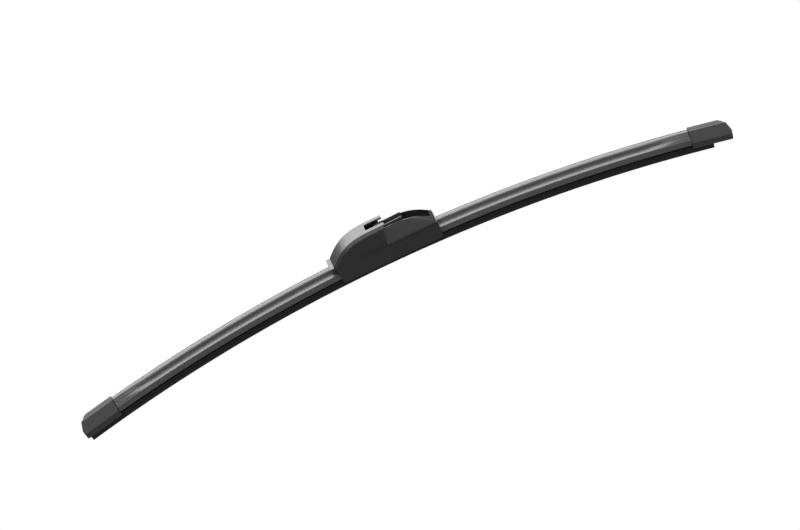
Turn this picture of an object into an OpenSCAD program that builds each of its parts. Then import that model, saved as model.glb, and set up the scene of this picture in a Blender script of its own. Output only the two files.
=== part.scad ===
// Beam wiper blade with a hooded connector that takes a hooked wiper arm.
// X runs along the blade, Y across it and Z away from the glass.
// The origin is on the axis of the pivot rivet. Heights in the blade's sections are measured from the lip.

/* [Blade] */
// Length of the wiping rubber along its arc
rubber_len = 530; // [400:5:650]
// How far the left cap reaches past the rubber
overhang_left = 1.4; // [1:0.2:4]
// How far the right cap reaches past the rubber
overhang_right = 15.2; // [12:0.2:20]
// Radius of the unloaded lip's arc
arc_r = 1237; // [900:10:2500]
// Distance from the middle of the rubber to the pivot
pin_shift = 3; // [0:0.2:12]
// Height of the pivot over the lip
pin_rise = 28.8; // [28.6:0.1:31]

/* [Rubber] */
// Thickness of the wiping lip
lip_t = 0.7; // [0.5:0.1:1]
// Height of the wiping lip
lip_h = 4.6; // [3.5:0.1:5]
// Half width of the shoulder that the lip tips against
shoulder_half = 2.9; // [2:0.1:3.4]
// Thickness of the neck between shoulder and head
neck_t = 0.9; // [0.6:0.1:1.4]
// Half width of the head
head_half = 2.8; // [2.4:0.1:3]
// Height of the head's underside over the lip
head_low = 7.6; // [7.2:0.1:7.8]
// Height of the head's top over the lip
head_top = 12; // [11.5:0.1:12.2]
// How much shorter the head is than the lip at each end
head_trim = 4.2; // [3.6:0.2:6]

/* [Rails] */
// Thickness of each spring steel rail
rail_t = 0.9; // [0.7:0.05:1.1]
// Distance from the blade's middle plane to a rail's outer edge
rail_out = 5.3; // [5:0.1:5.4]
// Distance from the blade's middle plane to a rail's inner edge
rail_in = 1.2; // [1:0.1:1.8]
// Height of the rails' underside over the lip
rail_z = 9.6; // [9.5:0.05:9.7]
// Distance from the end of a cap to the end of the rails
rail_setback = 10.5; // [10:0.5:13]
// Play between parts that fit together
fit = 0.2; // [0.1:0.05:0.25]

/* [Spoiler] */
// Half width of the spoiler at its claws
spoiler_half = 6.6; // [6.4:0.1:7]
// Height of the claws' underside over the lip
claw_z = 9.05; // [8.6:0.05:9.2]
// Height of the ridge over the lip
ridge_z = 17.4; // [17:0.1:18.2]
// Distance from the pivot to a spoiler's inner end
spoiler_start = 20; // [19:0.5:28]

/* [End caps] */
// Length of an end cap
cap_len = 32.2; // [30:0.2:40]
// Distance from the middle plane to a cap's front face
cap_front = 7.9; // [7.6:0.1:8.4]
// Distance from the middle plane to a cap's rear face
cap_rear = 8; // [7:0.1:8.4]
// Height of a cap's underside over the lip
cap_low = 6.9; // [6.4:0.1:7.1]
// Height of a cap's front edge over the lip
cap_edge = 10.7; // [10.5:0.1:12.4]
// How much shorter a cap is along its rear side
cap_slant = 7.6; // [5:0.2:9]
// Height of a cap's ridge over the lip
cap_ridge = 17.7; // [17.2:0.1:20]
// Radius of a cap's rear corner
cap_rear_r = 5; // [2:0.5:6]
// Radius of a cap's front corner
cap_front_r = 2; // [0.5:0.5:4]

/* [Connector] */
// Half width of the cover and the trough
cover_half = 11.2; // [11:0.1:13]
// Wall of the cover
cover_wall = 1.5; // [1.2:0.1:1.7]
// Height of the cover's lower edge over the lip
skirt_z = 6.3; // [5.8:0.1:7.5]
// Height of the hood's top over the pivot
hood_top = 7.25; // [7:0.05:9]
// Distance from the pivot to the hood's front end
hood_reach = 42.7; // [38:0.1:50]
// Distance from the pivot to the cover's far end
cover_reach = 43.7; // [42:0.1:52]
// Width of the notch in the hood for the arm's hook
notch_w = 9.8; // [9.4:0.1:10.4]
// Distance from the pivot to the closed end of the notch
notch_reach = 8.8; // [8:0.1:11]
// Width of the chamfer along the hood's upper edges
hood_chamfer = 2.2; // [1:0.1:2.6]
// Wall of the trough
trough_wall = 1; // [0.8:0.1:1.1]
// Half width of the trough's rim beside the pivot
rim_half = 6.8; // [6.8:0.1:8.6]
// Angle at which the rim narrows
rim_turn = 0.6; // [0:0.1:2.5]
// Height of the rim beside the pivot
rim_top = 3.5; // [2.5:0.1:4.5]
// Depth of the trough's floor under the pivot
floor_drop = 8.4; // [7.6:0.1:8.8]
// Thickness of the trough's floor
floor_t = 0.8; // [0.6:0.1:1]
// Half width of the floor's end lips
floor_half = 9.3; // [8.5:0.1:9.4]

/* [Base bracket] */
// Thickness of the bracket's sheet steel
sheet_t = 1; // [0.8:0.1:1.1]
// Length of the bracket
bracket_len = 36; // [30:1:37]
// Length of each claw that wraps a rail
claw_len = 7; // [4:0.5:9]
// Radius of the bracket's ears round the rivet
ear_r = 4; // [3.5:0.1:4.2]

/* [Pivot] */
// Radius of the rivet's shank
rivet_r = 2; // [1.8:0.1:2.3]
// Radius of the rivet's heads
rivet_head_r = 3; // [2.7:0.1:3.4]
// Half width of the hook clip
clip_half = 4.4; // [4.2:0.1:4.5]
// Radius of the clip's nose, which the arm's hook wraps
nose_r = 4.3; // [4.1:0.1:4.4]
// Length of the clip from the pivot to its open end
clip_len = 21.2; // [16:0.1:21.6]
// Thickness of the clip's cheeks and floor
clip_wall = 1; // [0.8:0.1:1.3]

/* [Hidden] */
over = 1;
arc_steps = 720;
round_steps = 48;
arc_mid = [-pin_shift, 0, -pin_rise - arc_r];
frame_left = -rubber_len / 2 - overhang_left;
frame_right = rubber_len / 2 + overhang_right;
rail_top = rail_z + rail_t;
cap_joint_gap = 0.3;

// Angle of an arc position from the rubber's middle
function arc_turn(s) = s / arc_r * 180 / PI;
// Points of an arc from angle a to angle b
function bow(mid, r, a, b, n = 6) =
    [for (i = [0:n]) mid + r * [cos(a + (b - a) * i / n), sin(a + (b - a) * i / n)]];
// Points of a cubic curve with four control points
function curve(p, n = 16) =
    [for (i = [0:n]) let (t = i / n, u = 1 - t)
        u ^ 3 * p[0] + 3 * u ^ 2 * t * p[1] + 3 * u * t ^ 2 * p[2] + t ^ 3 * p[3]];
// A closed outline from its right half, listed upwards
function both_sides(half) =
    concat(half, [for (i = [len(half) - 1:-1:0]) [-half[i][0], half[i][1]]]);
// A closed outline from its rear half, listed to the right
function both_ways(half) =
    concat(half, [for (i = [len(half) - 1:-1:0]) [half[i][0], -half[i][1]]]);
// Shares of a width and a height, as points over a base height
function scaled(shares, w, z, h) = [for (p = shares) [p[0] * w, z + p[1] * h]];

// A section given as width and height over the lip, swept along the blade's arc
module along_arc(from, to) {
    translate(arc_mid)
        rotate([90, 0, 0])
            rotate([0, 0, 90 - arc_turn(to)])
                rotate_extrude(angle = arc_turn(to) - arc_turn(from), $fn = arc_steps)
                    translate([arc_r, 0])
                        rotate(-90)
                            children();
}

// The place at an arc position, with X along the arc and Z away from the lip
module at_arc(s) {
    translate(arc_mid)
        rotate([0, arc_turn(s), 0])
            translate([0, 0, arc_r])
                children();
}

// A section given as width and height, run straight along X from one place to another
module along_x(from, to) {
    translate([from, 0, 0])
        rotate([90, 0, 90])
            linear_extrude(to - from)
                children();
}

// A side view given as X and Z, spread evenly across the middle plane
module across(half) {
    translate([0, half, 0])
        rotate([90, 0, 0])
            linear_extrude(2 * half)
                children();
}

// A rectangle in a section, between two widths and two heights
module band(y0, y1, z0, z1) {
    translate([y0, z0])
        square([y1 - y0, z1 - z0]);
}

// Rubber

shoulder_low = lip_h + lip_t;
shoulder_top = head_low - neck_t;
lip_flare_share = 0.62;
shoulder_slope_share = 0.55;

module rubber_section() {
    polygon(both_sides([
        [lip_t / 2, 0],
        [lip_t / 2, lip_h * lip_flare_share],
        [lip_t, lip_h],
        [shoulder_half, shoulder_low],
        [shoulder_half, shoulder_top],
        [neck_t / 2, shoulder_top],
        [neck_t / 2, head_low],
        [head_half * shoulder_slope_share, head_low],
        [head_half, head_low + neck_t],
        [head_half, rail_z - fit / 2],
        [rail_in - fit / 2, rail_z - fit / 2],
        [rail_in - fit / 2, rail_top + fit / 2],
        [head_half, rail_top + fit / 2],
        [head_half, head_top - fit],
        [head_half - fit, head_top],
    ]));
}

// One extrusion, with the head cut back at both ends so that it ends inside the caps
module wiper_rubber() {
    head_end = rubber_len / 2 - head_trim;
    color("#26272a")
        difference() {
            along_arc(-rubber_len / 2, rubber_len / 2)
                rubber_section();
            for (end = [[-rubber_len / 2 - over, -head_end], [head_end, rubber_len / 2 + over]])
                along_arc(end[0], end[1])
                    band(-shoulder_half, shoulder_half, shoulder_top + neck_t / 2, head_top + over);
        }
}

// Rails

rail_from = frame_left + rail_setback;
rail_to = frame_right - rail_setback;
rail_notch_len = 3;
rail_notch_share = 0.3;
rail_notch_depth = (rail_out - rail_in) * rail_notch_share;

// One rail, with a notch near each end where the clip bites
module rail() {
    difference() {
        along_arc(rail_from, rail_to)
            band(rail_in, rail_out, rail_z, rail_top);
        for (side = [-1, 1])
            at_arc(side < 0 ? clip_mid_left : clip_mid_right)
                translate([-rail_notch_len / 2, rail_out - rail_notch_depth, rail_z - over])
                    cube([rail_notch_len, rail_out, rail_t + 2 * over]);
    }
}

module front_rail() {
    color("#8f9296")
        mirror([0, 1, 0])
            rail();
}

module rear_rail() {
    color("#8f9296")
        rail();
}

// Rail clips, one over the ends of both rails

rail_clip_t = 0.5;
rail_clip_len = 6;
rail_clip_setback = 2;
clip_mid_left = rail_from + rail_clip_setback + rail_clip_len / 2;
clip_mid_right = rail_to - rail_clip_setback - rail_clip_len / 2;
rail_clip_lip_share = 0.35;

// A hat section that bridges the rubber's head and wraps both rails
function hat_half(t, gap) = let (
        hump_in = head_half + gap,
        edge_in = rail_out + gap,
        lip_in = rail_out - (rail_out - rail_in) * rail_clip_lip_share)
    [
        [lip_in, rail_z - gap - t], [edge_in + t, rail_z - gap - t], [edge_in + t, rail_top + gap + t],
        [hump_in + t, rail_top + gap + t], [hump_in + t, head_top + gap + t],
        [0, head_top + gap + t], [0, head_top + gap], [hump_in, head_top + gap],
        [hump_in, rail_top + gap], [edge_in, rail_top + gap], [edge_in, rail_z - gap],
        [lip_in, rail_z - gap],
    ];

module hat_section(t, gap) {
    for (side = [0, 1])
        mirror([side, 0])
            polygon(hat_half(t, gap));
}

module rail_clip(s) {
    notch_pin = [rail_notch_len - 2 * fit, rail_notch_depth - fit, rail_t];
    at_arc(s) {
        along_x(-rail_clip_len / 2, rail_clip_len / 2)
            hat_section(rail_clip_t, fit);
        for (side = [0, 1])
            mirror([0, side, 0])
                translate([-notch_pin[0] / 2, rail_out - notch_pin[1], rail_z])
                    cube([notch_pin[0], notch_pin[1] + fit + rail_clip_t / 2, notch_pin[2]]);
    }
}

module left_rail_clip() {
    color("#9a9da0")
        rail_clip(clip_mid_left);
}

module right_rail_clip() {
    color("#9a9da0")
        rail_clip(clip_mid_right);
}

// Spoilers

spoiler_shares = [
    [-1, 0], [-1, 0.09], [-0.975, 0.13], [-0.975, 0.46], [-0.95, 0.52], [-0.9, 0.555], [-0.82, 0.575],
    [-0.28, 0.61], [-0.2, 0.635], [-0.14, 0.69], [0.02, 0.88], [0.06, 0.93], [0.13, 0.975],
    [0.23, 1], [0.48, 0.995], [0.76, 0.97], [0.9, 0.945], [0.97, 0.9], [1, 0.82], [1, 0],
];

module spoiler_section() {
    difference() {
        polygon(scaled(spoiler_shares, spoiler_half, claw_z, ridge_z - claw_z));
        band(-head_half - fit, head_half + fit, claw_z - over, head_top + fit);
        band(-rail_out - fit, rail_out + fit, rail_z - fit, rail_top + fit);
    }
}

module left_spoiler() {
    color("#3c3d40")
        along_arc(frame_left + cap_len + cap_joint_gap, pin_shift - spoiler_start)
            spoiler_section();
}

module right_spoiler() {
    color("#3c3d40")
        along_arc(pin_shift + spoiler_start, frame_right - cap_len - cap_joint_gap)
            spoiler_section();
}

// End caps

clip_room_from = cap_len - rail_setback - rail_clip_setback - rail_clip_len - 2 * fit;
cap_tunnel_to = cap_len - rail_setback + 2 * fit;
cap_inner_r = 1.4;

cap_back_shares = [
    [1, 0], [1, 0.9], [0.985, 0.95], [0.95, 0.985], [0.9, 0.995], [0.78, 0.975], [0.7, 0.97],
    [0.62, 0.995], [0.54, 1], [0.46, 0.985], [0.36, 0.955], [0.26, 0.955], [0.15, 0.98],
    [0.06, 0.995], [-0.02, 0.995], [-0.09, 0.97],
];

// A cap's outer section: a low upright front, a straight face up to the ridge, and a wavy back
module cap_section() {
    polygon(concat(
        scaled(cap_back_shares, cap_rear, cap_low, cap_ridge - cap_low),
        [[-cap_front, cap_edge], [-cap_front, cap_low]]));
}

// A cap's outline from above, with a slanted outer end
module cap_plan() {
    turn = atan(cap_slant / (cap_front + cap_rear));
    front_mid = [cap_len - cap_front_r, -cap_front + cap_front_r];
    rear_mid = [cap_len - cap_slant - cap_rear_r * (1 - tan(turn)), cap_rear - cap_rear_r];
    polygon(concat(
        [[0, -cap_front]],
        bow(front_mid, cap_front_r, -90, turn),
        bow(rear_mid, cap_rear_r, turn, 90),
        bow([cap_inner_r, cap_rear - cap_inner_r], cap_inner_r, 90, 180)));
}

// The room in a cap for the rubber, the rails and the rail clip
module cap_hollow(rubber_end) {
    clip_room = 2 * fit + rail_clip_t;
    along_x(-over, rubber_end + fit)
        band(-shoulder_half - fit, shoulder_half + fit, 0, head_low);
    along_x(-over, rubber_end - head_trim + fit)
        band(-head_half - fit, head_half + fit, 0, head_top + fit);
    along_x(-over, cap_tunnel_to)
        band(-rail_out - fit, rail_out + fit, rail_z - fit, rail_top + fit);
    along_x(clip_room_from, cap_tunnel_to) {
        band(-rail_out - clip_room, rail_out + clip_room, rail_z - clip_room, rail_top + clip_room);
        band(-head_half - clip_room, head_half + clip_room, rail_z, head_top + clip_room);
    }
}

module end_cap(rubber_end) {
    difference() {
        intersection() {
            along_x(0, cap_len)
                cap_section();
            linear_extrude(cap_ridge + over)
                cap_plan();
        }
        cap_hollow(rubber_end);
    }
}

module left_end_cap() {
    color("#2e2f31")
        at_arc(frame_left + cap_len / 2)
            mirror([1, 0, 0])
                translate([-cap_len / 2, 0, 0])
                    end_cap(rubber_len / 2 + frame_left + cap_len);
}

module right_end_cap() {
    color("#2e2f31")
        at_arc(frame_right - cap_len / 2)
            translate([-cap_len / 2, 0, 0])
                end_cap(rubber_len / 2 - frame_right + cap_len);
}

// Base bracket: a stamped saddle on the rails, with two ears that carry the rivet

clip_side_play = 0.2;
ear_in = clip_half + clip_side_play;
ear_out = ear_in + sheet_t;
saddle_top = head_top + fit + sheet_t - pin_rise;
ear_foot_half = 8;

module ear() {
    hull() {
        rotate([-90, 0, 0])
            cylinder(h = sheet_t, r = ear_r, $fn = round_steps);
        translate([-ear_foot_half, 0, rail_top + fit - pin_rise])
            cube([2 * ear_foot_half, sheet_t, sheet_t]);
    }
}

module base_bracket() {
    color("#85888c")
        difference() {
            union() {
                difference() {
                    translate([0, 0, -pin_rise])
                        along_x(-bracket_len / 2, bracket_len / 2)
                            hat_section(sheet_t, fit);
                    for (side = [0, 1])
                        mirror([0, side, 0])
                            translate([claw_len - bracket_len / 2, rail_out + fit, -pin_rise])
                                cube([bracket_len - 2 * claw_len, spoiler_half, rail_top + sheet_t + over]);
                    translate([claw_len - bracket_len / 2, -spoiler_half, -pin_rise])
                        cube([bracket_len - 2 * claw_len, 2 * spoiler_half, rail_z]);
                }
                for (side = [0, 1])
                    mirror([0, side, 0])
                        translate([0, ear_in, 0])
                            ear();
            }
            rotate([90, 0, 0])
                cylinder(h = 4 * ear_out, r = rivet_r, center = true, $fn = round_steps);
        }
}

// Rivet and its washer

washer_t = 0.4;
head_t = 0.7;

module pivot_rivet() {
    color("#a3a6aa")
        rotate([90, 0, 0]) {
            cylinder(h = 2 * ear_out, r = rivet_r, center = true, $fn = round_steps);
            translate([0, 0, ear_out])
                cylinder(h = head_t, r1 = rivet_head_r, r2 = rivet_r, $fn = round_steps);
            mirror([0, 0, 1])
                translate([0, 0, ear_out + washer_t])
                    cylinder(h = head_t, r1 = rivet_head_r, r2 = rivet_r, $fn = round_steps);
            mirror([0, 0, 1])
                translate([0, 0, ear_out])
                    cylinder(h = washer_t, r = rivet_r, $fn = round_steps);
        }
}

module rivet_washer() {
    color("#b4b6b8")
        translate([0, ear_out, 0])
            rotate([-90, 0, 0])
                difference() {
                    cylinder(h = washer_t, r = ear_r, $fn = round_steps);
                    translate([0, 0, -over])
                        cylinder(h = washer_t + 2 * over, r = rivet_r, $fn = round_steps);
                }
}

// Parting between the cover's skirt, its hood and the trough

parting_z = 18.4;
skirt_low = skirt_z - pin_rise;
skirt_top = parting_z - pin_rise;
skirt_corner_r = 3.5;
hood_end_top = 6;
hood_end_side = 3.2;
hood_end_foot = 1.4;
hood_front_lean = 2;

// Trough: floor with end lips, leaning side walls and a far end wall

floor_z = -floor_drop;
flange_h = 1.7;
flange_low = skirt_top + fit;
flange_top = flange_low + flange_h;
flange_ledge = 0.4;
trough_to = cover_reach - fit;
lip_overhang = 3.4;
lip_setback = 2.8;
lip_left = hood_reach + lip_overhang;
lip_right = cover_reach - lip_setback;
post_t = 2;
post_half = 4;
post_x = 13;
rim_shares = [
    [0, 0], [0.2, 0], [0.48, -0.06], [0.58, -0.12], [0.68, -0.22], [0.78, -0.37],
    [0.84, -0.48], [0.9, -0.61], [0.95, -0.74], [1, -0.94],
];

// The rim's line from the pivot to the far end, as X and Z
function rim_line(inset, lift) = let (rim_to = trough_to - flange_ledge - inset)
    [for (p = rim_shares) [p[0] * rim_to, rim_top + lift + p[1] * (rim_top - flange_top)]];

// The trough's outer form, or with an inset its hollow
module trough_form(inset, low, lift) {
    wall_inset = inset + flange_ledge;
    translate([0, inset - cover_half, low])
        cube([trough_to - inset, 2 * (cover_half - inset), flange_top - low]);
    hull() {
        translate([0, wall_inset - cover_half, flange_top - flange_ledge])
            cube([trough_to - wall_inset, 2 * (cover_half - wall_inset), flange_ledge]);
        for (side = [0, 1])
            mirror([0, side, 0])
                translate([0, rim_half - inset, 0])
                    rotate([0, 0, -rim_turn])
                        across(flange_ledge / 2)
                            polygon(concat(rim_line(inset, lift), [[0, flange_top]]));
    }
}

// The side of the parting line on which the hood lies
module parting_side(gap) {
    across(cover_half + over)
        polygon([
            [-over, flange_low - over], [hood_end_foot + gap, flange_low - over],
            [hood_end_foot + gap, skirt_top], [hood_end_side + gap, hood_top - cover_wall],
            [hood_end_side + gap, hood_top], [-over, hood_top],
        ]);
}

module trough_body() {
    color("#2b2c2f")
        difference() {
            union() {
                difference() {
                    trough_form(0, flange_low, 0);
                    difference() {
                        trough_form(trough_wall, flange_low - over, over);
                        translate([0, -cover_half, floor_z - floor_t])
                            cube([cover_reach, 2 * cover_half, floor_t]);
                    }
                    parting_side(fit);
                }
                translate([-lip_left, -floor_half, floor_z - floor_t])
                    cube([lip_left + lip_right, 2 * floor_half, floor_t]);
                for (side = [-1, 1])
                    translate([side * post_x - post_t / 2, -post_half, saddle_top])
                        cube([post_t, 2 * post_half, floor_z - floor_t / 2 - saddle_top]);
            }
            for (side = [0, 1])
                mirror([0, side, 0])
                    translate([-ear_foot_half, ear_in - 2 * fit, floor_z - floor_t - over])
                        cube([2 * ear_foot_half, sheet_t + 4 * fit, floor_t + 2 * over]);
        }
}

// Cover: the hood over the pivot and the skirt along both sides, one moulding

hood_foot = -8;
hood_flat_x = -2.2;
hood_control_shares = [[1, 0], [0.696, 0.851], [0.492, 1], [0, 1]];
rib_w = 0.35;
rib_rise = 0.25;
rib_pitch = 1.55;
rib_low = parting_z + fit - pin_rise;
rib_lens = [20.3, 22.5, 23.7, 13.3];
rib_turns = [-3, -1, -0.5, 1.8];
notch_corner_r = 1.2;

// The hood's upper line from its front end to the flat of its top
function hood_line(inset) = let (
        reach = hood_reach - inset + hood_flat_x,
        rise = hood_top - inset - hood_foot)
    [for (p = curve(hood_control_shares)) [hood_flat_x - p[0] * reach, hood_foot + p[1] * rise]];

module hood_side(inset, end_x) {
    polygon(concat(
        hood_line(inset),
        [[end_x, hood_top - inset], [end_x, skirt_low],
         [inset + hood_front_lean - hood_reach, skirt_low]]));
}

// The hood, or with an inset its hollow, which runs further to the right by a stretch
module hood_form(inset, half, stretch) {
    hull() {
        across(half - hood_chamfer)
            hood_side(inset, hood_end_top + stretch);
        across(half)
            hood_side(inset + hood_chamfer, hood_end_side + stretch);
    }
}

// The skirt's side view, with its lower corners rounded, or with an inset its hollow
module skirt_form(inset, low, top) {
    front = inset + hood_front_lean - hood_reach;
    back = cover_reach - inset;
    corner = skirt_corner_r - inset;
    across(cover_half - inset)
        polygon(concat(
            bow([back - corner, low + corner], corner, 0, -90),
            bow([front + corner, low + corner], corner, 270, 180),
            [[front, top], [back, top]]));
}

// Everything to the right of the parting line, over the skirt and under the prongs
module parting_cut() {
    across(cover_half + over)
        polygon([
            [hood_end_foot, skirt_top], [hood_end_side, hood_top - cover_wall],
            [cover_reach + over, hood_top - cover_wall], [cover_reach + over, skirt_top],
        ]);
}

// Raised ribs for the fingers, which fan out over each side of the hood
module grip_ribs() {
    for (i = [0:len(rib_turns) - 1])
        translate([hood_end_foot - fit, cover_half - rib_rise, rib_low + i * rib_pitch])
            rotate([0, rib_turns[i], 0])
                translate([-rib_lens[i], 0, -rib_w / 2])
                    cube([rib_lens[i], 2 * rib_rise, rib_w]);
}

// The notch in the hood, with small corners at its closed end
module arm_notch() {
    corner = [notch_corner_r - notch_reach, notch_w / 2 - notch_corner_r];
    linear_extrude(hood_top + over)
        polygon(both_ways(concat(
            bow(corner, notch_corner_r, 180, 90),
            [[cover_reach, notch_w / 2]])));
}

// The way through both ends for the blade, and through the hood for the floor's end lip
module end_openings() {
    blade_half = cover_half - cover_wall;
    translate([-hood_reach - over, -floor_half - fit, floor_z - floor_t - fit])
        cube([hood_reach, 2 * (floor_half + fit), floor_t + 2 * fit]);
    translate([-hood_reach - over, -blade_half, skirt_low - over])
        cube([hood_reach + 2 * cover_reach, 2 * blade_half, parting_z - skirt_z + over]);
}

module cover() {
    color("#303134")
        difference() {
            union() {
                hood_form(0, cover_half, 0);
                skirt_form(0, skirt_low, skirt_top);
                for (side = [0, 1])
                    mirror([0, side, 0])
                        grip_ribs();
            }
            hood_form(cover_wall, cover_half - cover_wall, over);
            skirt_form(cover_wall, skirt_low - over, skirt_top + over);
            parting_cut();
            arm_notch();
            end_openings();
        }
}

// Hook clip: an open channel with a round nose, turning on the rivet

clip_rise_in = 4.5;
clip_rise_out = 5;
clip_low_out = -2.6;
clip_end_lean = 0.5;
clip_top_start = 2;
pivot_play = 0.05;

module clip_side() {
    circle(r = nose_r, $fn = round_steps);
    polygon([
        [0, -nose_r], [clip_len, clip_low_out], [clip_len - clip_end_lean, clip_rise_out],
        [nose_r + clip_top_start, clip_rise_in], [0, nose_r],
    ]);
}

module hook_clip() {
    color("#242527")
        difference() {
            across(clip_half)
                clip_side();
            translate([nose_r + clip_wall, -clip_half + clip_wall, -nose_r + 2 * clip_wall])
                cube([clip_len, 2 * (clip_half - clip_wall), 3 * nose_r]);
            rotate([90, 0, 0])
                cylinder(h = 3 * clip_half, r = rivet_r + pivot_play, center = true, $fn = round_steps);
        }
}

wiper_rubber();
front_rail();
rear_rail();
left_spoiler();
right_spoiler();
left_end_cap();
right_end_cap();
left_rail_clip();
right_rail_clip();
base_bracket();
pivot_rivet();
rivet_washer();
trough_body();
cover();
hook_clip();
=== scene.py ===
"""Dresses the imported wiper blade: finishes, rounded mouldings and extrusions, the studio and the camera."""

import math

import bmesh
import bpy
from mathutils import Matrix, Vector


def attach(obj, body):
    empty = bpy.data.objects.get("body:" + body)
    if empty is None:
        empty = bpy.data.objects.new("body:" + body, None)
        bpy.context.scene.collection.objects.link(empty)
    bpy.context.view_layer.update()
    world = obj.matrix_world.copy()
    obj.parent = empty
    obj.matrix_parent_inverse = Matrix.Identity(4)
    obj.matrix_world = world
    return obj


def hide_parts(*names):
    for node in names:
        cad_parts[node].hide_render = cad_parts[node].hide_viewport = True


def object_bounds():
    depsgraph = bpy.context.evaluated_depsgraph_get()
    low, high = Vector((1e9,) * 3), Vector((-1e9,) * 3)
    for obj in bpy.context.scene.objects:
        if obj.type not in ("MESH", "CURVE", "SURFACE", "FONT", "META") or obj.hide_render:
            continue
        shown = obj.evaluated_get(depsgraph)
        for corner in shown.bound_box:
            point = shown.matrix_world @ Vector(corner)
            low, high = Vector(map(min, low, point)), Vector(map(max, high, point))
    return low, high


bl_info = {
    "name": "Wiper Blade Dresser",
    "version": (1, 0, 0),
    "blender": (4, 5, 0),
    "location": "View3D > Sidebar > Wiper Blade",
    "description": "Finishes, mouldings, studio and camera for a beam wiper blade",
    "category": "Object",
}

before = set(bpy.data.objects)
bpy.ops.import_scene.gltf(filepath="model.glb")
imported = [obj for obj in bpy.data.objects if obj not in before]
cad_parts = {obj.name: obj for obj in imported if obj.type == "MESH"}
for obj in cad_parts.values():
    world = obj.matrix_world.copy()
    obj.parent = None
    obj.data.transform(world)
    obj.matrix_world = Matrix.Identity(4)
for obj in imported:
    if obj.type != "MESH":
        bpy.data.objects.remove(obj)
cad_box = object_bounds()

MM = 0.001
BLADE = "blade"
CLIP = "clip"

# The arc that the lip follows, and how far its middle lies behind and below the pivot
ARC_R = 1237 * MM
PIN_SHIFT = 3 * MM
PIN_RISE = 28.8 * MM

# The rubber's length and its head, which stops short of both ends by the trim, above the height of the cut
RUBBER_HALF_LEN = 265 * MM
HEAD_TRIM = 4.2 * MM
HEAD_CUT = 7.15 * MM
HEAD_HALF = 2.8 * MM
HEAD_TOP = 12 * MM

# The spoiler's outside and the rails inside it, as half widths and as heights over the lip
RIDGE_Z = 17.4 * MM
CLAW_Z = 9.05 * MM
SPOILER_HALF = 6.6 * MM
RAIL_OUT = 5.3 * MM
RAIL_LOW = 9.6 * MM
RAIL_TOP = 10.5 * MM
FIT = 0.2 * MM

# The rubber's lip and the end caps' feet are lower here than in the CAD, and the rubber's right end is longer
LIP_DROP = 0.8 * MM
TIP_GROWTH = 0.8 * MM
CAP_FOOT = 8.5 * MM

# Length of the straight steps in which a long extrusion follows the arc
PITCH = 4 * MM


class Wire:
    """A socket in a node tree, on which sums and products add Math nodes."""

    def __init__(self, tree, socket):
        self.tree = tree
        self.socket = socket

    def join(self, operation, *values):
        return node(self.tree, "ShaderNodeMath", dict(enumerate(values)), operation=operation)

    def __add__(self, other):
        return self.join("ADD", self, other)

    def __radd__(self, other):
        return self.join("ADD", other, self)

    def __sub__(self, other):
        return self.join("SUBTRACT", self, other)

    def __mul__(self, other):
        return self.join("MULTIPLY", self, other)

    def __truediv__(self, other):
        return self.join("DIVIDE", self, other)

    def sine(self):
        return self.join("SINE", self)

    def cosine(self):
        return self.join("COSINE", self)


def node(tree, kind, inputs=None, output=0, **settings):
    """Adds a node, sets its settings first, then its sockets, and returns one output as a Wire."""
    made = tree.nodes.new(kind)
    for name, value in settings.items():
        setattr(made, name, value)
    for key, value in (inputs or {}).items():
        if isinstance(value, Wire):
            tree.links.new(value.socket, made.inputs[key])
        else:
            made.inputs[key].default_value = value
    return Wire(tree, made.outputs[output])


def end_tree(tree, kind, result):
    """Ends a tree in an output node that takes the result."""
    tree.links.new(result.socket, tree.nodes.new(kind).inputs[0])


def node_material(name):
    """An empty node material and its tree."""
    material = bpy.data.materials.new(name)
    material.use_nodes = True
    material.node_tree.nodes.clear()
    return material, material.node_tree


# Height of the relief that a finish's grain stands for
GRAIN_DEPTH = 0.05 * MM


def surface(tree, colour, roughness, grain=None, strength=0.1, **fixed):
    """Ends a tree in a Principled surface. Fixed numbers go on the shader's own sockets."""
    inputs = {"Base Color": colour, "Roughness": roughness, **fixed}
    if grain is not None:
        inputs["Normal"] = node(
            tree, "ShaderNodeBump", {"Strength": strength, "Distance": GRAIN_DEPTH, "Height": grain}
        )
    end_tree(tree, "ShaderNodeOutputMaterial", node(tree, "ShaderNodeBsdfPrincipled", inputs))


def noise(tree, scale, detail, stretch=(1, 1, 1)):
    """Noise on the object's own metres, stretched along its axes."""
    place = node(tree, "ShaderNodeTexCoord", output="Object")
    spread = node(tree, "ShaderNodeMapping", {"Vector": place, "Scale": stretch})
    return node(tree, "ShaderNodeTexNoise", {"Vector": spread, "Scale": scale, "Detail": detail})


def tinted(tree, mask, dark, light):
    """A colour between two shades, by a mask."""
    inputs = {"Factor": mask, "A": (*dark, 1), "B": (*light, 1)}
    return node(tree, "ShaderNodeMix", inputs, output="Result", data_type="RGBA")


def varied(middle, *swings):
    """A number that wanders round its middle, by each mask's departure from a half times the mask's swing."""
    for mask, swing in swings:
        middle = middle + (mask - 0.5) * swing
    return middle


def grey(level):
    """A neutral black plastic's colour, a touch cooler than grey."""
    return (level, level * 1.01, level * 1.04)


def moulded_plastic(name, level, roughness, ior=1.5):
    """Black injection-moulded plastic with a fine spark-eroded grain and faint flow marks."""
    material, tree = node_material(name)
    grain = noise(tree, scale=5200, detail=2)
    flow = noise(tree, scale=60, detail=4, stretch=(0.6, 1, 1))
    colour = tinted(tree, flow, grey(level * 0.92), grey(level * 1.1))
    surface(tree, colour, varied(roughness, (flow, 0.06), (grain, 0.08)), grain, IOR=ior)
    return material


def extruded_elastomer(name, level, roughness):
    """Satin black elastomer, a little uneven in its sheen."""
    material, tree = node_material(name)
    mottle = noise(tree, scale=45, detail=4)
    colour = tinted(tree, mottle, grey(level * 0.93), grey(level * 1.08))
    surface(tree, colour, varied(roughness, (mottle, 0.08)), IOR=1.55)
    return material


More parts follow.
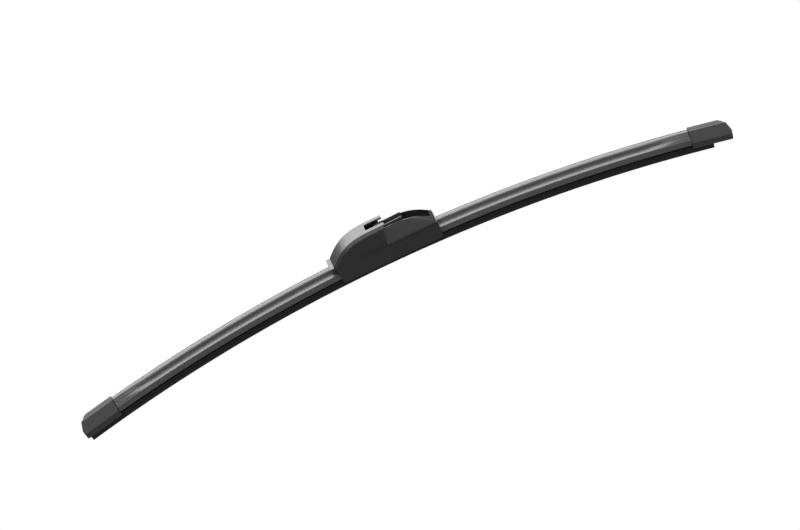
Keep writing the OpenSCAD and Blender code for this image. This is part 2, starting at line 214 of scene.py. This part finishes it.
def coated_rubber(name, level):
    """Dull wiping rubber with a dry graphite coat."""
    material, tree = node_material(name)
    lines = noise(tree, scale=2200, detail=2, stretch=(0.004, 1, 1))
    dust = noise(tree, scale=300, detail=5)
    colour = tinted(tree, dust, grey(level * 0.8), grey(level * 1.4))
    surface(tree, colour, varied(0.62, (dust, 0.2)), lines * 0.6 + dust * 0.4, strength=0.14)
    return material


def steel(name, level, roughness, stretch):
    """Bright steel with fine rolling marks, drawn out by the stretch along one axis."""
    material, tree = node_material(name)
    marks = noise(tree, scale=3000, detail=3, stretch=stretch)
    stain = noise(tree, scale=80, detail=4)
    colour = tinted(tree, stain, (level * 0.86, level * 0.87, level * 0.9), (level, level, level * 1.01))
    surface(tree, colour, varied(roughness, (marks, 0.14), (stain, 0.1)), marks, Metallic=1.0)
    return material


# How much paler the end caps are than the connector, and how much paler the hook clip is made as painted fill light
# for the shaded inside of the trough
CAP_TINT = 1.5
CLIP_PAINTED_FILL = 1.6

# Rolling marks along the rails, and across the blade on the stampings and the rivet
MARKS_ALONG = (0.02, 1, 1)
MARKS_ACROSS = (1, 0.02, 1)

MATERIALS = {}


def make_materials(look):
    """One material for each of the record's slots, at the panel's shades."""
    plastic, roughness = look.plastic_shade, look.plastic_roughness
    MATERIALS.update(
        connector_plastic=moulded_plastic("Connector plastic", plastic, roughness),
        cap_plastic=moulded_plastic("Cap plastic", plastic * CAP_TINT, look.cap_roughness, ior=1.42),
        # The clip's paler shade is painted fill light, standing in for light bounced inside the trough
        clip_plastic=moulded_plastic("Clip plastic", plastic * CLIP_PAINTED_FILL, roughness),
        spoiler_rubber=extruded_elastomer("Spoiler elastomer", look.spoiler_shade, look.spoiler_roughness),
        blade_rubber=coated_rubber("Wiping rubber", look.rubber_shade),
        spring_steel=steel("Spring steel", 0.42, 0.34, MARKS_ALONG),
        stamped_steel=steel("Stamped steel", 0.5, 0.38, MARKS_ACROSS),
        rivet_steel=steel("Rivet steel", 0.6, 0.28, MARKS_ACROSS),
    )


def added(name, data):
    """A new object in the scene that holds the data."""
    made = bpy.data.objects.new(name, data)
    bpy.context.scene.collection.objects.link(made)
    return made


def finished(name, mesh, slot_name, body, stands_for):
    """Puts a mesh in the scene as a finished piece that rides on its body and stands in for CAD nodes."""
    piece = added(name, mesh)
    piece.data.materials.clear()
    piece.data.materials.append(MATERIALS[slot_name])
    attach(piece, body)
    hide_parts(*stands_for)


def baked(piece):
    """The piece's mesh with its modifiers applied, as a plain mesh. The piece itself is removed."""
    graph = bpy.context.evaluated_depsgraph_get()
    mesh = bpy.data.meshes.new_from_object(piece.evaluated_get(graph), depsgraph=graph)
    bpy.data.objects.remove(piece)
    return mesh


def smoothed(mesh, crease):
    """Shades a mesh smooth, but for edges sharper than the crease."""
    mesh.set_sharp_from_angle(angle=crease)
    for face in mesh.polygons:
        face.use_smooth = True


def height(place):
    """A place's height over the lip's arc."""
    return math.hypot(place.x + PIN_SHIFT, place.z + PIN_RISE + ARC_R) - ARC_R


def distance_along(place):
    """A place's distance along the lip's arc from the rubber's middle."""
    return ARC_R * math.atan2(place.x + PIN_SHIFT, place.z + PIN_RISE + ARC_R)


# Corners of the CAD's loose triangles are joined within a distance, and faces made whole within an angle
TOUCHING = 0.002 * MM
FLAT_ANGLE = math.radians(0.6)

# Edges sharper than this are rounded. Shading of a rounded moulding stays sharp over the crease
SHARP_ANGLE = math.radians(30)
MOULDING_CREASE = math.radians(35)
EDGE_SEGMENTS = 3

# A cap's ridge: the least length and height of its edges, and the width about the middle in which they lie
RIDGE_RUN = 8 * MM
RIDGE_LOW = 16.5 * MM
RIDGE_REACH = 3 * MM
RIDGE_SEGMENTS = 5


def is_ridge(edge):
    """Whether an edge runs along the top of a cap's windward face."""
    ends = [vert.co for vert in edge.verts]
    on_top = min(map(height, ends)) > RIDGE_LOW and max(abs(end.y) for end in ends) < RIDGE_REACH
    return on_top and abs(ends[0].x - ends[1].x) > RIDGE_RUN


def whole_edge(start, end):
    """Every edge of a plain moulding is rounded in full."""
    return 1


# Places on the cover, in millimetres from the pivot: its flat sides, the finger ribs on them, the parting line to
# their right, and the top of the hood's left end
COVER_SIDE_Y = 11.1
RIBS_LEFT = -39
RIBS_LOW = -12
RIBS_HIGH = -4
PARTING_LEFT = 1.3
PARTING_RIGHT = 3.3
HOOD_END_LOW = -14

# Shares of the radius that edges at the hood's left end and the parting line take
HOOD_END_SHARE = 0.2
PARTING_SHARE = 0.35


def cover_edge(start, end):
    """The share of the radius that an edge of the cover takes, with none along the finger ribs."""
    left, right = sorted((start.x, end.x))
    low, high = sorted((start.z, end.z))
    on_side = min(abs(start.y), abs(end.y)) > COVER_SIDE_Y
    if on_side and left > RIBS_LEFT and right < PARTING_LEFT and low > RIBS_LOW and high < RIBS_HIGH:
        return 0
    if left < RIBS_LEFT and high > HOOD_END_LOW:
        return HOOD_END_SHARE
    if on_side and left > PARTING_LEFT and right < PARTING_RIGHT:
        return PARTING_SHARE
    return 1


def merged_copy(name, share, crest, foot_drop):
    """A CAD node's mesh with its loose triangles joined, its flat faces made whole and its sharp edges weighted.

    The share function says how much of the radius a sharp edge takes, from its two ends in millimetres. A crest is
    the radius by which a cap's ridge is rounded first, and a foot drop lowers a cap's foot at the end.
    """
    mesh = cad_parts[name].data.copy()
    shape = bmesh.new()
    shape.from_mesh(mesh)
    bmesh.ops.remove_doubles(shape, verts=shape.verts, dist=TOUCHING)
    bmesh.ops.dissolve_limit(
        shape, angle_limit=FLAT_ANGLE, verts=shape.verts, edges=shape.edges, use_dissolve_boundaries=False
    )
    if crest:
        bmesh.ops.bevel(
            shape, geom=[edge for edge in shape.edges if is_ridge(edge)], offset=crest, offset_type="OFFSET",
            segments=RIDGE_SEGMENTS, profile=0.5, affect="EDGES", clamp_overlap=False,
        )
    weight = shape.edges.layers.float.new("bevel_weight_edge")
    for edge in shape.edges:
        if edge.calc_face_angle(0) > SHARP_ANGLE:
            edge[weight] = share(*(vert.co / MM for vert in edge.verts))
    if foot_drop:
        for vert in shape.verts:
            if height(vert.co) < CAP_FOOT:
                vert.co.z -= foot_drop
    shape.to_mesh(mesh)
    shape.free()
    return mesh


def dressed(name, slot_name, body, radius, share=whole_edge, crest=0, foot_drop=0):
    """Stands a rounded copy of a CAD node in for it, with its sharp edges broken by a radius."""
    blank = added(name + "_blank", merged_copy(name, share, crest, foot_drop))
    bevel = blank.modifiers.new("Edge radius", "BEVEL")
    bevel.width = radius
    bevel.segments = EDGE_SEGMENTS
    bevel.limit_method = "WEIGHT"
    bevel.use_clamp_overlap = True
    bevel.miter_outer = "MITER_ARC"
    mesh = baked(blank)
    smoothed(mesh, MOULDING_CREASE)
    rounded = added(name + "_rounded", mesh)
    rounded.modifiers.new("Even faces", "WEIGHTED_NORMAL").keep_sharp = True
    finished(name + "_moulded", baked(rounded), slot_name, body, (name,))


# The spoiler's outer section as shares of its half width and of its height over the claws
SPOILER_SHARES = [
    (-0.97, -0.07), (-1, -0.055), (-1, 0.065), (-0.99, 0.095), (-0.982, 0.12), (-0.935, 0.39), (-0.925, 0.43),
    (-0.91, 0.455), (-0.88, 0.47), (-0.83, 0.48), (-0.45, 0.53), (-0.25, 0.563), (-0.16, 0.59), (-0.1, 0.64),
    (-0.07, 0.85), (-0.055, 0.88), (-0.025, 0.903), (0.04, 0.923), (0.14, 0.948), (0.26, 0.975), (0.38, 0.992),
    (0.5, 0.995), (0.68, 0.974), (0.85, 0.95), (0.93, 0.93), (1, 0.86), (1, 0),
]

# The same points at the capped end, where the fin's foot has swept forward over the valley
SPOILER_END_SHARES = SPOILER_SHARES[:6] + [
    (-0.93, 0.42), (-0.92, 0.44), (-0.9, 0.46), (-0.85, 0.49), (-0.45, 0.64), (-0.38, 0.67),
    (-0.3, 0.7), (-0.22, 0.735), (-0.1, 0.81), (-0.07, 0.84), (-0.02, 0.87), (0.05, 0.895),
] + SPOILER_SHARES[18:]

# Distances from the capped end between which the section changes from one to the other
SWEEP_END = 4 * MM
SWEEP_START = 38 * MM


def spoiler_outline(from_end):
    """The spoiler's section at a distance from its capped end: the finned outside, then the hollow for the rails."""
    share = min(1, max(0, (SWEEP_START - from_end) / (SWEEP_START - SWEEP_END)))
    share = share * share * (3 - 2 * share)
    outside = [
        (
            (y + (end_y - y) * share) * SPOILER_HALF,
            CLAW_Z + (z + (end_z - z) * share) * (RIDGE_Z - CLAW_Z),
        )
        for (y, z), (end_y, end_z) in zip(SPOILER_SHARES, SPOILER_END_SHARES)
    ]
    slot_half = RAIL_OUT + FIT
    head_half = HEAD_HALF + FIT
    inside = [
        (head_half, CLAW_Z), (head_half, RAIL_LOW - FIT), (slot_half, RAIL_LOW - FIT),
        (slot_half, RAIL_TOP + FIT), (head_half, RAIL_TOP + FIT), (head_half, HEAD_TOP + FIT),
    ]
    return outside + inside + [(-y, z) for y, z in reversed(inside)]


# Half of the rubber's section from its lip up to its grooved head, in millimetres
RUBBER_HALF = [
    (0.35, -0.8), (0.35, 1.7), (0.4, 2.4), (0.52, 3.2), (0.7, 3.8), (1.6, 4.2), (2.6, 4.42), (2.82, 4.52),
    (2.9, 4.7), (2.9, 5.7), (2.7, 5.9), (0.7, 5.9), (0.45, 6.1), (0.45, 7.15), (0.45, 7.4), (0.7, 7.6), (1.54, 7.6),
    (2.6, 8.2), (2.8, 8.5), (2.8, 9.5), (1.1, 9.5), (1.1, 10.6), (2.8, 10.6), (2.8, 11.8), (2.6, 12),
]


def rubber_outline():
    """The rubber's section, as one closed loop."""
    return [(y * MM, z * MM) for y, z in RUBBER_HALF + [(-y, z) for y, z in reversed(RUBBER_HALF)]]


# Heights closer than this count as the same
HAIR = 0.001 * MM


def straight_bar(name, outline_at, places, cut_places=()):
    """A straight bar along X through many places, with the section given for each place and closed ends.

    At the cut places, all of which lie outside the others, only the part of the section up to the head's cut is kept.
    """
    shape = bmesh.new()
    outline = outline_at(0)
    whole = list(range(len(outline)))
    kept = [i for i in whole if outline[i][1] <= HEAD_CUT + HAIR]
    dropped = [i for i in whole if outline[i][1] >= HEAD_CUT - HAIR]
    order = sorted([*places, *cut_places])
    rings = {}
    for x in order:
        section = outline_at(x)
        rings[x] = {i: shape.verts.new((x, *section[i])) for i in (kept if x in cut_places else whole)}
    for near, far in zip(order, order[1:]):
        loop = kept if near in cut_places or far in cut_places else whole
        for i, j in zip(loop, loop[1:] + loop[:1]):
            shape.faces.new((rings[near][i], rings[near][j], rings[far][j], rings[far][i]))
    for x in (order[0], order[-1]):
        shape.faces.new(list(rings[x].values()))
    if cut_places:
        for x in (min(places), max(places)):
            shape.faces.new([rings[x][i] for i in dropped])
    bmesh.ops.recalc_face_normals(shape, faces=shape.faces)
    mesh = bpy.data.meshes.new(name)
    shape.to_mesh(mesh)
    shape.free()
    return mesh


def spaced(start, end, pitch):
    """Places from start to end, about a pitch apart."""
    steps = max(1, round((end - start) / pitch))
    return [start + (end - start) * step / steps for step in range(steps + 1)]


def rubber_bar():
    """The wiping rubber as a straight bar."""
    head_end = RUBBER_HALF_LEN - HEAD_TRIM
    ends = [-RUBBER_HALF_LEN, RUBBER_HALF_LEN + TIP_GROWTH]
    outline = rubber_outline()
    return straight_bar("wiping_rubber", lambda x: outline, spaced(-head_end, head_end, PITCH), ends)


def spoiler_bar(name):
    """A spoiler as a straight bar, as long as its CAD node along the arc."""
    places = [distance_along(vert.co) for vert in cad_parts[name].data.vertices]
    span = (min(places), max(places))
    capped = max(span, key=abs)
    return straight_bar(name, lambda x: spoiler_outline(abs(capped - x)), spaced(*span, PITCH / 2))


BEND = "Bend along the blade's arc"
BAR_CREASE = math.radians(32)


def bend_tree():
    """Geometry nodes that bend a straight bar along the blade's arc."""
    tree = bpy.data.node_groups.new(BEND, "GeometryNodeTree")
    face = tree.interface
    face.new_socket("Geometry", in_out="INPUT", socket_type="NodeSocketGeometry")
    for name in ("Radius", "Middle X", "Lip Z"):
        face.new_socket(name, in_out="INPUT", socket_type="NodeSocketFloat")
    face.new_socket("Material", in_out="INPUT", socket_type="NodeSocketMaterial")
    face.new_socket("Geometry", in_out="OUTPUT", socket_type="NodeSocketGeometry")
    given = tree.nodes.new("NodeGroupInput")
    geometry, radius, middle, lip, material = (
        Wire(tree, given.outputs[name]) for name in ("Geometry", "Radius", "Middle X", "Lip Z", "Material")
    )
    place = node(tree, "GeometryNodeInputPosition")
    x, y, z = (node(tree, "ShaderNodeSeparateXYZ", {0: place}, output=axis) for axis in "XYZ")
    turn = x / radius
    reach = radius + z
    curved = node(
        tree,
        "ShaderNodeCombineXYZ",
        {0: middle + reach * turn.sine(), 1: y, 2: lip - radius + reach * turn.cosine()},
    )
    moved = node(tree, "GeometryNodeSetPosition", {"Geometry": geometry, "Position": curved})
    real = node(tree, "GeometryNodeRealizeInstances", {0: moved})
    painted = node(tree, "GeometryNodeSetMaterial", {"Geometry": real, "Material": material})
    end_tree(tree, "NodeGroupOutput", painted)
    return tree


def bent(name, mesh, slot_name, stands_for):
    """Bends a straight bar's mesh along the blade's arc and stands it in for a CAD node."""
    blank = added(name + "_bar", mesh)
    bend = blank.modifiers.new("Bend", "NODES")
    bend.node_group = bpy.data.node_groups.get(BEND) or bend_tree()
    values = {"Radius": ARC_R, "Middle X": -PIN_SHIFT, "Lip Z": -PIN_RISE, "Material": MATERIALS[slot_name]}
    for item in bend.node_group.interface.items_tree:
        if item.item_type == "SOCKET" and item.in_out == "INPUT" and item.name in values:
            bend[item.identifier] = values[item.name]
    mesh = baked(blank)
    smoothed(mesh, BAR_CREASE)
    finished(name, mesh, slot_name, BLADE, (stands_for,))


# The CAD nodes that keep their shapes, by their finish
STEEL_PIECES = {
    "spring_steel": ("front_rail", "rear_rail"),
    "stamped_steel": ("left_rail_clip", "right_rail_clip", "base_bracket"),
    "rivet_steel": ("pivot_rivet", "rivet_washer"),
}


def repaint(name, slot_name):
    """Gives a CAD node whose shape is right its finish."""
    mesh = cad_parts[name].data
    mesh.materials.clear()
    mesh.materials.append(MATERIALS[slot_name])


# The camera's place, from the photograph: a long lens over the near side, rolled so that the blade rises
CAMERA_ELEVATION = math.radians(26.5)
CAMERA_ROLL = math.radians(25.26)
CAMERA_AIM = Vector((3.79 * MM, 0, -34.25 * MM))
FRAME_WIDTH = 611.9 * MM
SENSOR = 36
LENS = 200

# How many times nearer and farther than its aim the camera sees
DEPTH = 10


def make_camera():
    """The photograph's camera."""
    data = bpy.data.cameras.new("Camera")
    data.sensor_width = SENSOR
    data.lens = LENS
    away = FRAME_WIDTH * LENS / SENSOR
    data.clip_start = away / DEPTH
    data.clip_end = away * DEPTH
    ahead = Vector((0, math.cos(CAMERA_ELEVATION), -math.sin(CAMERA_ELEVATION)))
    level = Vector((1, 0, 0))
    upright = level.cross(ahead)
    right = level * math.cos(CAMERA_ROLL) - upright * math.sin(CAMERA_ROLL)
    up = level * math.sin(CAMERA_ROLL) + upright * math.cos(CAMERA_ROLL)
    turn = Matrix((right, up, -ahead)).transposed().to_4x4()
    camera = added("Camera", data)
    camera.matrix_world = Matrix.Translation(CAMERA_AIM - ahead * away) @ turn
    bpy.context.scene.camera = camera


# Each lamp's place, width and height, and the setting that holds its power
LAMPS = {
    "Back light": ((0, 0.95, 0.9), 1.6, 1.33, "back_power"),
    "Overhead light": ((0, -0.8, 1.15), 2.2, 0.7, "top_power"),
    "Front light": ((0, -3.9, 0.85), 4, 2.8, "front_power"),
}


def softbox(name, place, width, height, power):
    """A rectangular lamp at a place, facing the pivot."""
    data = bpy.data.lights.new(name, "AREA")
    data.shape = "RECTANGLE"
    data.size = width
    data.size_y = height
    data.energy = power
    lamp = added(name, data)
    lamp.location = place
    lamp.rotation_euler = (Vector() - Vector(place)).to_track_quat("-Z", "Y").to_euler()


def make_world(strength):
    """A dim even world that the camera sees as white."""
    world = bpy.data.worlds.new("Studio")
    world.use_nodes = True
    tree = world.node_tree
    tree.nodes.clear()
    level = node(tree, "ShaderNodeLightPath", output="Is Camera Ray") * (1 - strength) + strength
    back = node(tree, "ShaderNodeBackground", {"Color": (1, 1, 1, 1), "Strength": level})
    end_tree(tree, "ShaderNodeOutputWorld", back)
    bpy.context.scene.world = world


FLOOR_REACH = 6
FLOOR_SHADE = 0.2


def make_floor(drop):
    """A floor below the blade that throws back a little light, and that the camera sees as plain white."""
    low = cad_box[0].z - drop
    corners = [(x * FLOOR_REACH, y * FLOOR_REACH, low) for x, y in ((-1, -1), (1, -1), (1, 1), (-1, 1))]
    mesh = bpy.data.meshes.new("floor")
    mesh.from_pydata(corners, [], [(0, 1, 2, 3)])
    floor = added("floor", mesh)
    material, tree = node_material("Pale floor")
    seen = node(tree, "ShaderNodeLightPath", output="Is Camera Ray")
    paint = node(tree, "ShaderNodeBsdfDiffuse", {"Color": (FLOOR_SHADE, FLOOR_SHADE, FLOOR_SHADE, 1)})
    glow = node(tree, "ShaderNodeEmission", {"Color": (1, 1, 1, 1), "Strength": 1.0})
    end_tree(tree, "ShaderNodeOutputMaterial", node(tree, "ShaderNodeMixShader", {0: seen, 1: paint, 2: glow}))
    mesh.materials.append(material)


class BladeLook(bpy.types.PropertyGroup):
    """Shades and roughnesses of the blade's finishes."""

    plastic_shade: bpy.props.FloatProperty(
        name="Plastic Shade", description="Reflectance of the connector's plastic", default=0.03, min=0.005, max=0.2
    )
    plastic_roughness: bpy.props.FloatProperty(
        name="Plastic Roughness", description="Roughness of the connector's plastic", default=0.33, min=0.1, max=0.9
    )
    cap_roughness: bpy.props.FloatProperty(
        name="Cap Roughness", description="Roughness of the end caps' plastic", default=0.55, min=0.1, max=0.9
    )
    spoiler_shade: bpy.props.FloatProperty(
        name="Spoiler Shade", description="Reflectance of the spoiler's elastomer", default=0.075, min=0.005, max=0.2
    )
    spoiler_roughness: bpy.props.FloatProperty(
        name="Spoiler Roughness", description="Roughness of the spoiler's elastomer", default=0.3, min=0.1, max=0.9
    )
    rubber_shade: bpy.props.FloatProperty(
        name="Rubber Shade", description="Reflectance of the wiping rubber", default=0.011, min=0.005, max=0.2
    )


class BladeEdges(bpy.types.PropertyGroup):
    """Edge radii of the mouldings."""

    cover_radius: bpy.props.FloatProperty(
        name="Cover Edge Radius", description="Radius on the cover's edges", default=0.45 * MM, unit="LENGTH"
    )
    trough_radius: bpy.props.FloatProperty(
        name="Trough Edge Radius", description="Radius on the trough's and clip's edges", default=0.25 * MM,
        unit="LENGTH",
    )
    cap_radius: bpy.props.FloatProperty(
        name="Cap Edge Radius", description="Radius on the end caps' edges", default=0.5 * MM, unit="LENGTH"
    )
    crest_radius: bpy.props.FloatProperty(
        name="Cap Ridge Radius", description="Radius on the end caps' ridges", default=2.2 * MM, unit="LENGTH"
    )


class BladeStudio(bpy.types.PropertyGroup):
    """Light in the studio."""

    world_strength: bpy.props.FloatProperty(
        name="World Strength", description="Strength of the even light from all round", default=0.28, min=0, max=2
    )
    back_power: bpy.props.FloatProperty(
        name="Back Light", description="Power of the wide light behind the blade", default=33, min=0, unit="POWER"
    )
    top_power: bpy.props.FloatProperty(
        name="Overhead Light", description="Power of the light over the blade", default=11, min=0, unit="POWER"
    )
    front_power: bpy.props.FloatProperty(
        name="Front Light", description="Power of the large light behind the camera", default=20, min=0, unit="POWER"
    )
    floor_drop: bpy.props.FloatProperty(
        name="Floor Drop", description="Distance of the floor under the blade's tips", default=0.25, unit="LENGTH"
    )


class MaterialsOperator(bpy.types.Operator):
    """Make the finishes that the other steps use"""

    bl_idname = "wiper_blade.materials"
    bl_label = "Make Finishes"

    def execute(self, context):
        make_materials(context.scene.blade_look)
        return {"FINISHED"}


class StageOperator(bpy.types.Operator):
    """Set up the floor, the lights and the camera"""

    bl_idname = "wiper_blade.stage"
    bl_label = "Studio"

    def execute(self, context):
        studio = context.scene.blade_studio
        context.scene.view_settings.view_transform = "Standard"
        make_world(studio.world_strength)
        make_floor(studio.floor_drop)
        for name, (place, width, height, power) in LAMPS.items():
            softbox(name, place, width, height, getattr(studio, power))
        make_camera()
        return {"FINISHED"}


class RubberOperator(bpy.types.Operator):
    """Sweep the wiping rubber along the blade's arc"""

    bl_idname = "wiper_blade.rubber"
    bl_label = "Wiping Rubber"

    def execute(self, context):
        bent("wiping_rubber", rubber_bar(), "blade_rubber", "wiper_rubber")
        return {"FINISHED"}


class SpoilersOperator(bpy.types.Operator):
    """Sweep the two finned spoilers along the blade's arc"""

    bl_idname = "wiper_blade.spoilers"
    bl_label = "Spoilers"

    def execute(self, context):
        for name in ("left_spoiler", "right_spoiler"):
            bent(name + "_extrusion", spoiler_bar(name), "spoiler_rubber", name)
        return {"FINISHED"}


class CapsOperator(bpy.types.Operator):
    """Round the two end caps"""

    bl_idname = "wiper_blade.caps"
    bl_label = "End Caps"

    def execute(self, context):
        edges = context.scene.blade_edges
        for name in ("left_end_cap", "right_end_cap"):
            dressed(name, "cap_plastic", BLADE, edges.cap_radius, crest=edges.crest_radius, foot_drop=LIP_DROP)
        return {"FINISHED"}


class SteelOperator(bpy.types.Operator):
    """Finish the rails, their clips, the base bracket and the rivet"""

    bl_idname = "wiper_blade.steel"
    bl_label = "Rails and Stampings"

    def execute(self, context):
        for slot_name, names in STEEL_PIECES.items():
            for name in names:
                repaint(name, slot_name)
        return {"FINISHED"}


class ConnectorOperator(bpy.types.Operator):
    """Round the cover, the trough and the hook clip"""

    bl_idname = "wiper_blade.connector"
    bl_label = "Connector"

    def execute(self, context):
        edges = context.scene.blade_edges
        dressed("cover", "connector_plastic", BLADE, edges.cover_radius, share=cover_edge)
        dressed("trough_body", "connector_plastic", BLADE, edges.trough_radius)
        dressed("hook_clip", "clip_plastic", CLIP, edges.trough_radius)
        return {"FINISHED"}


class BladePanel(bpy.types.Panel):
    """The blade's steps and settings in the sidebar"""

    bl_idname = "VIEW3D_PT_wiper_blade"
    bl_label = "Wiper Blade"
    bl_space_type = "VIEW_3D"
    bl_region_type = "UI"
    bl_category = "Wiper Blade"

    def draw(self, context):
        for operator in OPERATORS:
            self.layout.operator(operator.bl_idname)
        for name in GROUPS:
            group = getattr(context.scene, name)
            box = self.layout.box()
            for prop in group.bl_rna.properties:
                if prop.identifier not in ("rna_type", "name"):
                    box.prop(group, prop.identifier)


GROUPS = {"blade_look": BladeLook, "blade_edges": BladeEdges, "blade_studio": BladeStudio}
OPERATORS = (
    MaterialsOperator,
    StageOperator,
    RubberOperator,
    SpoilersOperator,
    CapsOperator,
    SteelOperator,
    ConnectorOperator,
)


def register():
    for group in GROUPS.values():
        bpy.utils.register_class(group)
    for name, group in GROUPS.items():
        setattr(bpy.types.Scene, name, bpy.props.PointerProperty(type=group))
    for operator in OPERATORS:
        bpy.utils.register_class(operator)
    bpy.utils.register_class(BladePanel)


def unregister():
    bpy.utils.unregister_class(BladePanel)
    for operator in reversed(OPERATORS):
        bpy.utils.unregister_class(operator)
    for name in GROUPS:
        delattr(bpy.types.Scene, name)
    for group in reversed(list(GROUPS.values())):
        bpy.utils.unregister_class(group)


def main():
    register()
    for step in ("materials", "stage", "rubber", "spoilers", "caps", "steel", "connector"):
        getattr(bpy.ops.wiper_blade, step)()


if __name__ == "__main__":
    main()
